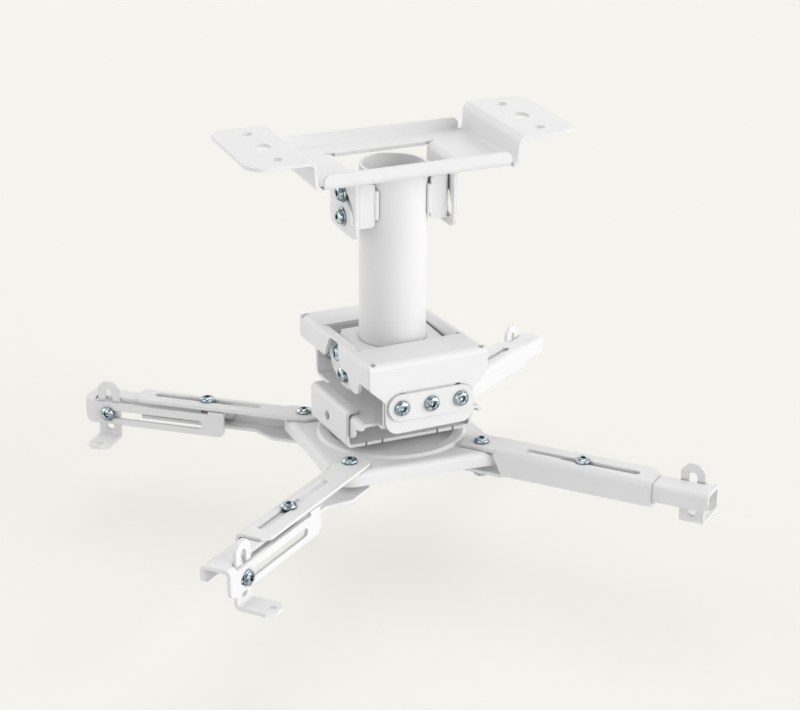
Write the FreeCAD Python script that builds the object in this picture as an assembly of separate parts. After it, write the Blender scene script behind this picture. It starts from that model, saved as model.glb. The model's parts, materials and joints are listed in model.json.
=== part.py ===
import FreeCAD, Part
import math
import os

V = FreeCAD.Vector

# Projector ceiling mount of folded sheet steel, standing as in use: the ceiling is at z = 0.
# The plate hangs from the ceiling, the tube tilts in its lugs, and a head below the tube
# pitches, rolls, slides and turns. Four arms reach out to the projector's threaded holes.

# Sheet and fit
SHEET = 2.5          # thickness of every folded sheet
BEND = 2.0           # inside radius of an ordinary fold
SLIDE = 0.1          # gap between flat faces that slide on each other
RUN = 0.3            # gap round a screw or tube that turns or slides
FIT = 0.05           # gap round a shank in its nut or washer
RELIEF = 1.5         # width of the small relief cut where a fold ends

# Screws, M6 with a round button head
BOLT = 6.0           # shank diameter
BOLT_HEAD = 11.5     # head diameter
BOLT_HEAD_HIGH = 3.4
HEX_KEY = 4.0        # across the flats of the socket
KEY_DEEP = 2.2
NUT = 10.0           # across the flats
NUT_HIGH = 5.0
BOLT_HOLE = BOLT + 2 * RUN
BOLT_FIT = BOLT + 2 * FIT
WASHER = 13.5
WASHER_THICK = 1.5

# Ceiling plate
PLATE_LONG = 250.0
PLATE_DEEP = 93.0
EAR_IN = 78.3        # where an ear turns down
WELL_OUT = 78.0      # outer side of the sunken middle at its floor
WELL_DEEP = 19.8     # depth of the floor's top below the ceiling
PLATE_BEND = 2.6
EAR_ROUND = 13.0
EAR_HOLE = 14.0      # big hole in each ear
EAR_HOLE_X = 100.5
EAR_SCREW_HOLE = 8.8
EAR_SCREW_Y = 31.0
RIM_HIGH = 9.2       # height of the front and back rims above the floor
RIM_HALF = 71.5
LUG_OUT = 39.5       # outer face of the lugs that hold the tube
LUG_HALF = 24.0
LUG_LOW = 71.0       # lowest point of the lugs below the ceiling
LUG_ROUND = 7.0

# Tilt of the tube
TILT_Z = -59.3       # height of the tilt axis
TILT_LOCK = 17.7     # distance of the locking screw from the axis
TILT_TURN = 90.0     # how far the tube swings back

# Tube and its brackets
TUBE = 50.0
TUBE_WALL = 2.0
TUBE_TOP = -24.3
TUBE_LOW = -158.6
BRACKET_HALF = 17.5
BRACKET_TIP = 22.0   # distance of a bracket's edges from the tube's middle plane
BRACKET_TOP = -32.0
BRACKET_LOW = -64.5
BRACKET_ROUND = 4.5
WELD = 4.2           # width of the weld bead along a bracket's edge

# Head frame, modelled level
HEAD_TOP = -154.5
HEAD_HALF = 47.0
HEAD_DEEP = 66.0     # half depth, front to back
HEAD_OPEN_Y = 31.5
HEAD_RIM = 18.7      # height of the outer rims
WING_TONGUE = 11.0   # how far the short tongue of a side rim hangs below it
WING_TONGUE_FRONT = 42.5
WING_TONGUE_BACK = 29.5
TONGUE_HALF = 35.0   # half width of the long front and back tongues
TONGUE_LOW = -209.4
TONGUE_SLOPE = 184.6 # depth at which the rim has narrowed to the tongue
TONGUE_ROUND = 9.7
HEAD_LUG = 38.5      # outer face of the inner lugs
HEAD_LUG_LOW = -194.0
HEAD_LUG_HALF = 28.5
HEAD_BEND = 2.5      # inside radius of the frame's folds
HEAD_RELIEF = 4.2    # round relief hole at each corner
PITCH_Z = -183.5     # height of the pitch axis
PITCH_LOCK = 16.0    # distance of the pitch locking screw from the axis
PITCH_LOCK_TURN = 33.0   # its angle from straight up, towards the back
PITCH_RANGE = 10.0
FOOT_BRACKET_HALF = 20.0

# Roll of the lower part
ROLL_Z = -189.3
ROLL_SCREW = 23.5    # distance of the outer roll screws from the middle one
ROLL_RANGE = 15.0
ROLL_PLATE_HALF = 33.6
ROLL_PLATE_HIGH = 20.2
ROLL_FLANGE_TOP = -177.5
ROLL_FLANGE_HALF = 35.5

# Tray and rail channel
TRAY_TOP = -204.2
TRAY_FRONT = 52.5    # the tray reaches further to the front than to the back
TRAY_BACK = 37.0
TRAY_TAB = 17.0      # height of the tray's side tabs
TRAY_TAB_FRONT = 38.0
RAIL_HALF = 51.5
RAIL_LONG = 67.5
RAIL_TOP = -201.3
RAIL_LIP = 10.5      # width of the lips over the tray
RAIL_LOW = -230.3
RAIL_HOLE = 8.0
RAIL_HOLE_Z = -217.0
RAIL_HOLE_BACK = 2.5
RAIL_NICK = 1.6      # width of the small nicks in the floor's front edge
RAIL_NICKS = (22.5, 35.5)
RAIL_OFFSET = 2.3    # how far the rail and the hub stand back from the middle

# Hub
ARM_TOP = -234.2
HUB_CORNER = 16.0    # radius of the corners, which are round about the arm screws
HUB_WAIST = 2.0      # how far the middle of each side is drawn in
HUB_RIM = 10.8
HUB_RING = 57.0      # outer radius of the pressed ring
HUB_RING_WIDE = 12.0
HUB_RING_HIGH = 2.2
HUB_SCREW = 73.9     # radius of the four arm screws
SWIVEL_BOLT = 10.0
SWIVEL_HEAD = 20.0
SWIVEL_HEAD_HIGH = 4.0
SWIVEL_WASHER = 36.0
SWIVEL_NUT = 16.0
SWIVEL_NUT_HIGH = 8.0

# Outer arms, measured from the hub screw; the open side is on the left looking outwards
OUTER_TAIL = 13.5
OUTER_LONG = 138.5
OUTER_LEFT = 13.8
OUTER_RIGHT = 11.5
OUTER_HIGH = 21.0
OUTER_SETBACK = 0.8  # the flat flanges at the hub end this far inside the wall's face
OUTER_CHAMFER = 5.5
OUTER_LIP = 2.0      # the bottom lip's edge lies this far left of the screw line
OUTER_WEB = 14.6     # where the upright wall starts
OUTER_WEB_LOW = 20.5
OUTER_WIDE = 21.0    # the lip narrows between these two distances
OUTER_NARROW = 40.0
SLOT_IN = 36.0
SLOT_OUT = 126.0

# Inner arms, measured from their lock screw
INNER_TAIL = 19.0
INNER_TIP = 99.0
INNER_SHORT = 13.4   # height of the plain wall
INNER_TALL = 21.2    # height of the slotted wall
INNER_OUT = 14.3     # outer face of the slotted wall, left of the screw line
INNER_BEND = 1.0     # tighter folds, so that a foot's plate passes the fold above its window
WINDOW_IN = -6.0
WINDOW_OUT = 91.0
WINDOW_LOW = -6.0
FOOT_SLOT_Z = -15.5  # middle of the lower slot
FOOT_SLOT_IN = -1.0
FOOT_SLOT_OUT = 86.0

# Feet
FOOT_WIDE = 18.4
FOOT_TOP = 10.4       # top of the ear above the arm
FOOT_LOW = -36.3
FOOT_REACH = 38.5    # how far the foot reaches to the left of the screw line
FOOT_HOLE = 7.0
FOOT_HOLE_AT = 32.0
FOOT_SLOT_TOP = 4.5
FOOT_SLOT_LOW = -30.0
FOOT_CHAMFER = 5.0

# The pose that the mount is set to
HEAD_YAW = 1.2       # the foot bracket is welded on this far off the square
HEAD_PITCH = -3.48
HEAD_ROLL = 0.87
HUB_TURN = -3.55

# Each arm: corner of the hub, direction, distance of the lock screw, distance of the foot from it
ARMS = {
    "left": (135.0, 137.4, 81.2, 80.2),
    "front": (-135.0, -142.3, 87.3, 78.2),
    "right": (-45.0, -52.7, 81.8, 81.2),
    "back": (45.0, 32.6, 73.3, 77.2),
}


# A flat outline is given as (u, v) or (u, v, corner radius); axis is the direction it is extruded in.

def point(axis, u, v, w):
    """u and v lie in the outline's plane and w along the axis."""
    if axis == "x":
        return V(w, u, v)
    if axis == "y":
        return V(u, w, v)
    return V(u, v, w)


def unit(a, b):
    length = math.hypot(b[0] - a[0], b[1] - a[1])
    return ((b[0] - a[0]) / length, (b[1] - a[1]) / length)


def corner(before, at, after, radius):
    """Start, middle and end of the arc that rounds one corner."""
    p, q = unit(at, before), unit(at, after)
    half = math.acos(max(-1.0, min(1.0, p[0] * q[0] + p[1] * q[1]))) / 2
    run = radius / math.tan(half)
    bisector = unit((0, 0), (p[0] + q[0], p[1] + q[1]))
    deep = radius / math.sin(half) - radius
    start = (at[0] + p[0] * run, at[1] + p[1] * run)
    middle = (at[0] + bisector[0] * deep, at[1] + bisector[1] * deep)
    end = (at[0] + q[0] * run, at[1] + q[1] * run)
    return start, middle, end


def prism(axis, low, high, points):
    """A solid with the outline given, between low and high along the axis."""
    place = lambda p: point(axis, p[0], p[1], low)
    count = len(points)
    arcs = []
    for i, at in enumerate(points):
        if len(at) > 2:
            arcs.append(corner(points[i - 1], at, points[(i + 1) % count], at[2]))
        else:
            arcs.append((at, None, at))
    edges = []
    for i, (start, middle, end) in enumerate(arcs):
        if middle:
            edges.append(Part.Arc(place(start), place(middle), place(end)).toShape())
        a, b = place(end), place(arcs[(i + 1) % count][0])
        if a.distanceToPoint(b) > 1e-6:
            edges.append(Part.makeLine(a, b))
    face = Part.Face(Part.Wire(edges))
    return face.extrude(point(axis, 0, 0, high - low))


def plate(axis, low, high, u0, u1, v0, v1, radius=0):
    """A rectangular prism, with its four corners rounded if a radius is given."""
    corners = [(u0, v0), (u1, v0), (u1, v1), (u0, v1)]
    if radius:
        corners = [p + (radius,) for p in corners]
    return prism(axis, low, high, corners)


def slot(axis, low, high, a, b, width):
    """A straight slot with round ends centred on a and b."""
    along = unit(a, b)
    side = (-along[1] * width / 2, along[0] * width / 2)
    run = (along[0] * width / 2, along[1] * width / 2)
    tips = ((a, -1, 1), (a, -1, -1), (b, 1, -1), (b, 1, 1))
    points = []
    for end, out, turn in tips:
        u = end[0] + out * run[0] + turn * side[0]
        v = end[1] + out * run[1] + turn * side[1]
        points.append((u, v, width / 2 * 0.9999))
    return prism(axis, low, high, points)


def rod(axis, low, high, u, v, diameter):
    return Part.makeCylinder(diameter / 2, high - low, point(axis, u, v, low), point(axis, 0, 0, 1))


def arc_slot(axis, low, high, centre, radius, width, turn_from, turn_to):
    """A curved slot; the turns are in degrees in the outline's plane."""
    def at(r, turn, cap=0.0):
        a = math.radians(turn)
        u = centre[0] + r * math.cos(a) - cap * math.sin(a)
        v = centre[1] + r * math.sin(a) + cap * math.cos(a)
        return point(axis, u, v, low)
    out, inner, mid = radius + width / 2, radius - width / 2, (turn_from + turn_to) / 2
    edges = [
        Part.Arc(at(out, turn_from), at(out, mid), at(out, turn_to)).toShape(),
        Part.Arc(at(out, turn_to), at(radius, turn_to, width / 2), at(inner, turn_to)).toShape(),
        Part.Arc(at(inner, turn_to), at(inner, mid), at(inner, turn_from)).toShape(),
        Part.Arc(at(inner, turn_from), at(radius, turn_from, -width / 2), at(out, turn_from)).toShape(),
    ]
    return Part.Face(Part.Wire(edges)).extrude(point(axis, 0, 0, high - low))


def fold(axis, low, high, path, bend=BEND):
    """A folded strip: the path runs along the middle of the sheet, with its bends between points."""
    left, right = [], []
    for i, at in enumerate(path):
        if i == 0 or i == len(path) - 1:
            other = path[1] if i == 0 else path[-2]
            along = unit(at, other) if i == 0 else unit(other, at)
            turns = [(at, along)]
            centre = None
        else:
            start, middle, end = corner(path[i - 1], at, path[i + 1], bend + SHEET / 2)
            before, after = unit(path[i - 1], at), unit(at, path[i + 1])
            cross = before[0] * after[1] - before[1] * after[0]
            reach = (bend + SHEET / 2) * math.copysign(1, cross)
            centre = (start[0] - before[1] * reach, start[1] + before[0] * reach)
            turns = [(start, before), (middle, None), (end, after)]
        for side, line in ((1, left), (-1, right)):
            row = []
            for p, along in turns:
                if along:
                    out = (-along[1] * side * SHEET / 2, along[0] * side * SHEET / 2)
                else:
                    spoke = unit(centre, p)
                    sign = -math.copysign(1, cross) * side
                    out = (spoke[0] * sign * SHEET / 2, spoke[1] * sign * SHEET / 2)
                row.append((p[0] + out[0], p[1] + out[1]))
            line.append(row)
    place = lambda p: point(axis, p[0], p[1], low)
    edges = []
    for line in (left, right):
        for i, row in enumerate(line):
            if len(row) == 3:
                edges.append(Part.Arc(place(row[0]), place(row[1]), place(row[2])).toShape())
            if i and place(line[i - 1][-1]).distanceToPoint(place(row[0])) > 1e-6:
                edges.append(Part.makeLine(place(line[i - 1][-1]), place(row[0])))
    edges.append(Part.makeLine(place(left[0][0]), place(right[0][0])))
    edges.append(Part.makeLine(place(left[-1][-1]), place(right[-1][-1])))
    wire = Part.Wire(Part.__sortEdges__(edges))
    return Part.Face(wire).extrude(point(axis, 0, 0, high - low))


def join(shapes):
    whole = shapes[0].multiFuse(shapes[1:]) if len(shapes) > 1 else shapes[0]
    return whole.removeSplitter()


def mirror(shape, axis):
    return shape.mirror(V(0, 0, 0), point(axis, 0, 0, 1))


def turned(shape, centre, axis, degrees):
    result = shape.copy()
    result.rotate(centre, axis, degrees)
    return result


def moved(shape, offset):
    result = shape.copy()
    result.translate(offset)
    return result


# Fasteners, with the seat of the head at z = 0 and the shank downwards

def hexagon(across, low, high):
    r = across / math.sqrt(3)
    corners = [(r * math.cos(math.radians(60 * k)), r * math.sin(math.radians(60 * k))) for k in range(6)]
    return prism("z", low, high, corners)


def button_screw(length):
    rim = 0.8
    edge = BOLT_HEAD / 2
    profile = [V(0, 0, -length), V(BOLT / 2, 0, -length), V(BOLT / 2, 0, 0), V(edge, 0, 0), V(edge, 0, rim)]
    top = V(HEX_KEY * 0.75, 0, BOLT_HEAD_HIGH)
    shoulder = V(edge * 0.86, 0, BOLT_HEAD_HIGH * 0.68)
    edges = [Part.makeLine(a, b) for a, b in zip(profile, profile[1:])]
    edges.append(Part.Arc(profile[-1], shoulder, top).toShape())
    edges.append(Part.makeLine(top, V(0, 0, BOLT_HEAD_HIGH)))
    edges.append(Part.makeLine(V(0, 0, BOLT_HEAD_HIGH), profile[0]))
    body = Part.Face(Part.Wire(edges)).revolve(V(0, 0, 0), V(0, 0, 1), 360)
    return body.cut(hexagon(HEX_KEY, BOLT_HEAD_HIGH - KEY_DEEP, BOLT_HEAD_HIGH + 1))


def nut(across=NUT, high=NUT_HIGH, bore=BOLT_FIT):
    """A hexagon nut below z = 0, with its outer edges rounded off."""
    body = hexagon(across, -high, 0)
    round_off = Part.makeCone(across / 2 * 1.16, across / 2 * 1.16 - 0.1, high, V(0, 0, -high))
    tip = Part.makeCone(across / 2 * 0.95, across / 2 * 0.95 + high, high, V(0, 0, -high))
    return body.common(round_off).common(tip).cut(rod("z", -high, 0, 0, 0, bore))


def washer(outer, thick, bore):
    """A flat washer above z = 0."""
    return rod("z", 0, thick, 0, 0, outer).cut(rod("z", 0, thick, 0, 0, bore))


def facing(shape, seat, direction):
    """Turns a fastener so that its head points along the direction, with its seat at the point."""
    up, out = V(0, 0, 1), V(*direction)
    axis = up.cross(out)
    degrees = math.degrees(up.getAngle(out))
    if axis.Length > 1e-9:
        shape = turned(shape, V(0, 0, 0), axis, degrees)
    elif degrees > 90:
        shape = turned(shape, V(0, 0, 0), V(1, 0, 0), 180)
    return moved(shape, V(*seat))


# Ceiling plate

def ceiling_plate():
    mid = -WELL_DEEP - SHEET / 2
    half = PLATE_DEEP / 2
    rim_mid = half - SHEET / 2
    bend = PLATE_BEND
    ear = -SHEET / 2
    profile = [(-PLATE_LONG / 2, ear), (-EAR_IN, ear), (-WELL_OUT + SHEET / 2, mid)]
    profile += [(WELL_OUT - SHEET / 2, mid), (EAR_IN, ear), (PLATE_LONG / 2, ear)]
    body = fold("y", -half, half, profile, bend)
    outline = [(-PLATE_LONG / 2, -half, EAR_ROUND), (PLATE_LONG / 2, -half, EAR_ROUND)]
    outline += [(PLATE_LONG / 2, half, EAR_ROUND), (-PLATE_LONG / 2, half, EAR_ROUND)]
    body = body.common(prism("z", mid - SHEET, 0, outline))
    zone = bend + SHEET
    # The floor makes room for the folds of the rims and of the lugs.
    reach = RIM_HALF + RELIEF
    for side in (-1, 1):
        inner, outer = sorted((side * (half - zone), side * (half + 1)))
        body = body.cut(plate("z", mid - SHEET, mid + SHEET, -reach, reach, inner, outer))
    wall = LUG_OUT - SHEET / 2
    lug_edge = LUG_OUT + bend + SHEET / 2
    body = body.cut(plate("z", mid - SHEET, mid + SHEET, -lug_edge, lug_edge, -LUG_HALF, LUG_HALF, 1.0))
    relief = plate("z", mid - SHEET, mid + SHEET, wall - bend, lug_edge, LUG_HALF, LUG_HALF + RELIEF, 0.7)
    relief = relief.fuse(mirror(relief, "y"))
    path = [(half - zone - 1, mid), (rim_mid, mid), (rim_mid, RIM_HIGH - WELL_DEEP)]
    rim = fold("x", -RIM_HALF, RIM_HALF, path, bend)
    rim = rim.cut(rim_corners(half))
    lug = tube_lug(wall, mid, lug_edge)
    body = join([body, rim, mirror(rim, "y"), lug, mirror(lug, "x")])
    body = body.cut(relief).cut(mirror(relief, "x"))
    for side in (-1, 1):
        holes = [rod("z", -WELL_DEEP, 1, side * EAR_HOLE_X, 0, EAR_HOLE)]
        for edge in (-1, 1):
            holes.append(rod("z", -WELL_DEEP, 1, side * EAR_HOLE_X, edge * EAR_SCREW_Y, EAR_SCREW_HOLE))
        for hole in holes:
            body = body.cut(hole)
    return body


def rim_corners(half):
    """What is cut away to round the upper ends of a rim."""
    top = RIM_HIGH - WELL_DEEP
    low = -WELL_DEEP
    keep = [(-RIM_HALF, low - 9), (RIM_HALF, low - 9), (RIM_HALF, top, 5.0), (-RIM_HALF, top, 5.0)]
    block = plate("y", half - SHEET - 1, half + 1, -RIM_HALF - 1, RIM_HALF + 1, low, top + 1)
    return block.cut(prism("y", half - SHEET - 2, half + 2, keep))


def tube_lug(wall, mid, lug_edge):
    """The right-hand lug, with a round hole on the tilt axis and a curved slot for the locking screw."""
    lug = fold("y", -LUG_HALF, LUG_HALF, [(lug_edge + 1, mid), (wall, mid), (wall, -LUG_LOW)], PLATE_BEND)
    shape = [(-LUG_HALF, -LUG_LOW, LUG_ROUND), (LUG_HALF, -LUG_LOW, LUG_ROUND)]
    shape += [(LUG_HALF, 0), (-LUG_HALF, 0)]
    lug = lug.common(prism("x", 0, lug_edge + 2, shape))
    lug = lug.cut(rod("x", 0, lug_edge, 0, TILT_Z, BOLT_HOLE))
    return lug.cut(arc_slot("x", 0, lug_edge, (0, TILT_Z), TILT_LOCK, BOLT_HOLE, 90, 90 + TILT_TURN))


# Tube with the two brackets at its top

def tube():
    bore = rod("z", TUBE_LOW, TUBE_TOP, 0, 0, TUBE - 2 * TUBE_WALL)
    return rod("z", TUBE_LOW, TUBE_TOP, 0, 0, TUBE).cut(bore)


BRACKET_OUT = LUG_OUT - SHEET - SLIDE


def tube_bracket():
    """The right-hand bracket: a channel with a weld along each of its two edges."""
    web = BRACKET_OUT - SHEET / 2
    side = BRACKET_HALF - SHEET / 2
    path = [(BRACKET_TIP, -side), (web, -side), (web, side), (BRACKET_TIP, side)]
    body = fold("z", BRACKET_LOW, BRACKET_TOP, path)
    shape = [(BRACKET_TIP - 1, BRACKET_LOW, BRACKET_ROUND), (BRACKET_OUT + 1, BRACKET_LOW)]
    shape += [(BRACKET_OUT + 1, BRACKET_TOP), (BRACKET_TIP - 1, BRACKET_TOP, BRACKET_ROUND)]
    body = body.common(prism("y", -BRACKET_HALF - 1, BRACKET_HALF + 1, shape))
    bead_low, bead_high = BRACKET_LOW + BRACKET_ROUND + 1, BRACKET_TOP - BRACKET_ROUND - 1
    middle = BRACKET_HALF - SHEET / 2
    on_tube = math.sqrt((TUBE / 2) ** 2 - middle ** 2)
    bead = rod("z", bead_low, bead_high, (on_tube + BRACKET_TIP) / 2, middle, WELD)
    bead = bead.cut(rod("z", bead_low, bead_high, 0, 0, TUBE))
    body = join([body, bead, mirror(bead, "y")])
    for height in (TILT_Z, TILT_Z + TILT_LOCK):
        body = body.cut(rod("x", BRACKET_TIP, BRACKET_OUT + 1, 0, height, BOLT_HOLE))
    return body


TILT_SPOTS = [(side, 0.0, height) for side in (-1, 1) for height in (TILT_Z, TILT_Z + TILT_LOCK)]


def lock_spot():
    a = math.radians(PITCH_LOCK_TURN)
    return PITCH_LOCK * math.sin(a), PITCH_Z + PITCH_LOCK * math.cos(a)


PITCH_SPOTS = [(side,) + spot for side in (-1, 1) for spot in ((0.0, PITCH_Z), lock_spot())]


def side_fasteners(spots, face, inside):
    """Screws, washers and nuts through the lugs on both sides, as groups."""
    seat = face + SLIDE
    length = seat + WASHER_THICK - inside + NUT_HIGH
    screws, washers, nuts = [], [], []
    for side, y, z in spots:
        out = (side, 0, 0)
        screws.append(facing(button_screw(length), (side * (seat + WASHER_THICK), y, z), out))
        washers.append(facing(washer(WASHER, WASHER_THICK, BOLT_FIT), (side * seat, y, z), out))
        nuts.append(facing(nut(), (side * inside, y, z), out))
    return Part.Compound(screws), Part.Compound(washers), Part.Compound(nuts)


FOOT_WALL = HEAD_LUG - SHEET - SLIDE * 2


def tube_foot_bracket():
    """A channel under the tube, with its two walls hanging inside the head frame's lugs."""
    web = TUBE_LOW - SHEET / 2
    wall = FOOT_WALL - SHEET / 2
    half = FOOT_BRACKET_HALF + 5
    low = PITCH_Z - 9.0
    path = [(-wall, low), (-wall, web), (wall, web), (wall, low)]
    body = fold("y", -half, half, path)
    neck = FOOT_WALL - SHEET - BEND
    edge = FOOT_BRACKET_HALF
    waist = [(neck, -half), (neck, -edge, 3.0), (FOOT_WALL + 1, -edge)]
    waist += [(FOOT_WALL + 1, edge), (neck, edge, 3.0), (neck, half)]
    waist += [(-p[0],) + p[1:] for p in reversed(waist)]
    body = body.common(prism("z", low, TUBE_LOW, waist))
    sides = [(-edge, TUBE_LOW + 1), (-edge, PITCH_Z + 8, 6.0), (-9.0, low, 7.0), (9.0, low, 7.0)]
    sides += [(edge, PITCH_Z + 8, 6.0), (edge, TUBE_LOW + 1)]
    below = TUBE_LOW - SHEET - BEND
    keep = prism("x", -FOOT_WALL - 1, FOOT_WALL + 1, sides)
    top = plate("x", -FOOT_WALL - 1, FOOT_WALL + 1, -half, half, below, TUBE_LOW)
    body = body.common(keep.fuse(top))
    for side, y, z in PITCH_SPOTS:
        low_x, high_x = sorted((side * (FOOT_WALL - SHEET - 1), side * (FOOT_WALL + 1)))
        body = body.cut(rod("x", low_x, high_x, y, z, BOLT_HOLE))
    return body.cut(rod("z", TUBE_LOW - SHEET - 1, TUBE_LOW + 1, 0, 0, TUBE / 2))


# Head frame: one sheet with rims all round, long tongues front and back, and lugs in its opening

def head_frame():
    top = HEAD_TOP - SHEET / 2
    rim_low = HEAD_TOP - HEAD_RIM
    front = HEAD_DEEP - SHEET / 2
    side = HEAD_HALF - SHEET / 2
    zone = HEAD_BEND + SHEET
    wall = HEAD_LUG - SHEET / 2
    flat_x, flat_y = HEAD_HALF - zone, HEAD_DEEP - zone
    under = HEAD_TOP - SHEET
    middle = plate("z", under, HEAD_TOP, -flat_x, flat_x, -flat_y, flat_y)
    lug_edge = HEAD_LUG + HEAD_BEND
    middle = middle.cut(plate("z", under, HEAD_TOP, -lug_edge, lug_edge, -HEAD_OPEN_Y, HEAD_OPEN_Y))
    face = fold("x", -HEAD_HALF, HEAD_HALF, [(-flat_y, top), (-front, top), (-front, TONGUE_LOW)], HEAD_BEND)
    face = face.common(prism("y", -HEAD_DEEP - 1, 0, tongue_outline(rim_low)))
    face = face.cut(roll_holes(-HEAD_DEEP - 1))
    wing_half = HEAD_DEEP - SHEET - SLIDE
    wing = fold("y", -wing_half, wing_half, [(flat_x, top), (side, top), (side, rim_low - 12)], HEAD_BEND)
    wing = wing.common(prism("x", 0, HEAD_HALF + 1, wing_outline(rim_low, wing_half)))
    wing = wing.cut(wing_notch(rim_low))
    lug = head_lug(top, wall, lug_edge)
    body = join([middle, face, mirror(face, "y"), wing, mirror(wing, "x"), lug, mirror(lug, "x")])
    for x in (-1, 1):
        for y in (-1, 1):
            at_x, at_y = x * (flat_x + 1.0), y * (flat_y + 1.0)
            body = body.cut(rod("z", HEAD_TOP - zone - 2, HEAD_TOP + 1, at_x, at_y, HEAD_RELIEF))
    return body


def tongue_outline(rim_low):
    """A front or back face seen from the front: full width, then narrowing to the tongue."""
    right = [(TONGUE_HALF, TONGUE_LOW, TONGUE_ROUND), (TONGUE_HALF, -TONGUE_SLOPE, 3.0)]
    right += [(HEAD_HALF, rim_low, 3.0), (HEAD_HALF, HEAD_TOP + 1)]
    left = [(-p[0],) + p[1:] for p in reversed(right)]
    return right + left


def roll_holes(low):
    """The middle roll hole and the two curved slots beside it."""
    high = low + SHEET + 2
    holes = rod("y", low, high, 0, ROLL_Z, BOLT_HOLE)
    reach = ROLL_RANGE + 4
    for turn in (0, 180):
        curve = arc_slot("y", low, high, (0, ROLL_Z), ROLL_SCREW, BOLT_HOLE, turn - reach, turn + reach)
        holes = holes.fuse(curve)
    return holes


def wing_outline(rim_low, half):
    """A side rim seen from the side: a level edge with a short tongue towards the front."""
    low = rim_low - WING_TONGUE
    front, back = -WING_TONGUE_FRONT, -WING_TONGUE_BACK
    points = [(-half, HEAD_TOP + 1), (-half, rim_low), (front - 4.0, rim_low, 4.0), (front, low, 6.0)]
    points += [(back, low, 6.0), (back + 5.0, rim_low, 3.0), (half, rim_low), (half, HEAD_TOP + 1)]
    return points


def wing_notch(rim_low):
    """The notch in a side rim through which the pitch screws are reached."""
    top = HEAD_TOP - 1.8
    points = [(-12.5, rim_low - 1), (-9.6, rim_low + 4, 4.0), (-7.0, top, 2.5)]
    points += [(9.4, top, 2.5), (10.2, HEAD_TOP - 5.3, 2.0), (19.6, rim_low - 1)]
    return prism("x", HEAD_HALF - SHEET - 1, HEAD_HALF + 1, points)


def head_lug(top, wall, lug_edge):
    """The right-hand inner lug, with the pitch hole and a curved slot."""
    edge = HEAD_LUG_HALF
    lug = fold("y", -edge, edge, [(lug_edge, top), (wall, top), (wall, HEAD_LUG_LOW)], HEAD_BEND)
    points = [(-edge, HEAD_TOP + 1), (-edge, PITCH_Z + 11, 8.0), (-7.0, HEAD_LUG_LOW, 6.0)]
    points += [(7.0, HEAD_LUG_LOW, 6.0), (edge - 6.0, PITCH_Z - 3, 5.0)]
    points += [(edge, PITCH_Z + 7, 5.0), (edge, HEAD_TOP + 1)]
    lug = lug.common(prism("x", 0, HEAD_HALF, points))
    lug = lug.cut(rod("x", wall - 2, HEAD_LUG + 1, 0, PITCH_Z, BOLT_HOLE))
    upright = 90 - PITCH_LOCK_TURN
    reach = PITCH_RANGE + 2
    turns = (upright - reach, upright + reach)
    return lug.cut(arc_slot("x", wall - 2, HEAD_LUG + 1, (0, PITCH_Z), PITCH_LOCK, BOLT_HOLE, *turns))


# Roll bracket: the tray with its front and back flanges

FLANGE_OUT = HEAD_DEEP - SHEET - SLIDE * 2


def roll_bracket():
    mid = TRAY_TOP - SHEET / 2
    face = FLANGE_OUT - SHEET / 2
    half = ROLL_FLANGE_HALF
    top, below = ROLL_FLANGE_TOP, TRAY_TOP - SHEET - BEND
    body = fold("x", -half, half, [(-face, top), (-face, mid), (face, mid), (face, top)])
    shape = [(-half, top, 8.0), (-half, below), (half, below), (half, top, 8.0)]
    body = body.common(prism("y", -FLANGE_OUT - 1, FLANGE_OUT + 1, shape))
    out = RAIL_HALF - SHEET - RUN
    zone = BEND + SHEET
    wide = plate("z", TRAY_TOP - SHEET, TRAY_TOP, -out + zone, out - zone, -TRAY_FRONT, TRAY_BACK)
    low = TRAY_TOP - TRAY_TAB
    path = [(out - zone, mid), (out - SHEET / 2, mid), (out - SHEET / 2, low)]
    tab = fold("y", -TRAY_FRONT, TRAY_BACK, path)
    outline = [(TRAY_BACK, TRAY_TOP + 1), (TRAY_BACK, low, 6.0), (-TRAY_TAB_FRONT, low, 6.0)]
    outline += [(-TRAY_TAB_FRONT - 1, TRAY_TOP - 8, 3.0), (-TRAY_FRONT, TRAY_TOP - 5, 2.0)]
    outline += [(-TRAY_FRONT, TRAY_TOP + 1)]
    tab = tab.common(prism("x", 0, out + 1, outline))
    body = join([body, wide, tab, mirror(tab, "x")])
    for x in (-ROLL_SCREW, 0, ROLL_SCREW):
        body = body.cut(rod("y", -FLANGE_OUT - 1, -FLANGE_OUT + SHEET + 1, x, ROLL_Z, BOLT_HOLE))
        body = body.cut(rod("y", FLANGE_OUT - SHEET - 1, FLANGE_OUT + 1, x, ROLL_Z, BOLT_HOLE))
    return body


def roll_plate(side):
    low, high = sorted((side * (HEAD_DEEP + SLIDE), side * (HEAD_DEEP + SLIDE + SHEET)))
    half, tall = ROLL_PLATE_HALF, ROLL_PLATE_HIGH / 2
    body = plate("y", low, high, -half, half, ROLL_Z - tall, ROLL_Z + tall, tall * 0.9999)
    for x in (-ROLL_SCREW, 0, ROLL_SCREW):
        body = body.cut(rod("y", low, high, x, ROLL_Z, BOLT_FIT))
    return body


def roll_fasteners():
    screws, nuts = [], []
    seat = HEAD_DEEP + SLIDE + SHEET
    inside = FLANGE_OUT - SHEET
    length = seat - inside + NUT_HIGH
    for side in (-1, 1):
        out = (0, side, 0)
        for x in (-ROLL_SCREW, 0, ROLL_SCREW):
            screws.append(facing(button_screw(length), (x, side * seat, ROLL_Z), out))
            nuts.append(facing(nut(), (x, side * inside, ROLL_Z), out))
    return Part.Compound(screws), Part.Compound(nuts)


# Rail channel under the tray, with the swivel

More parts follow.
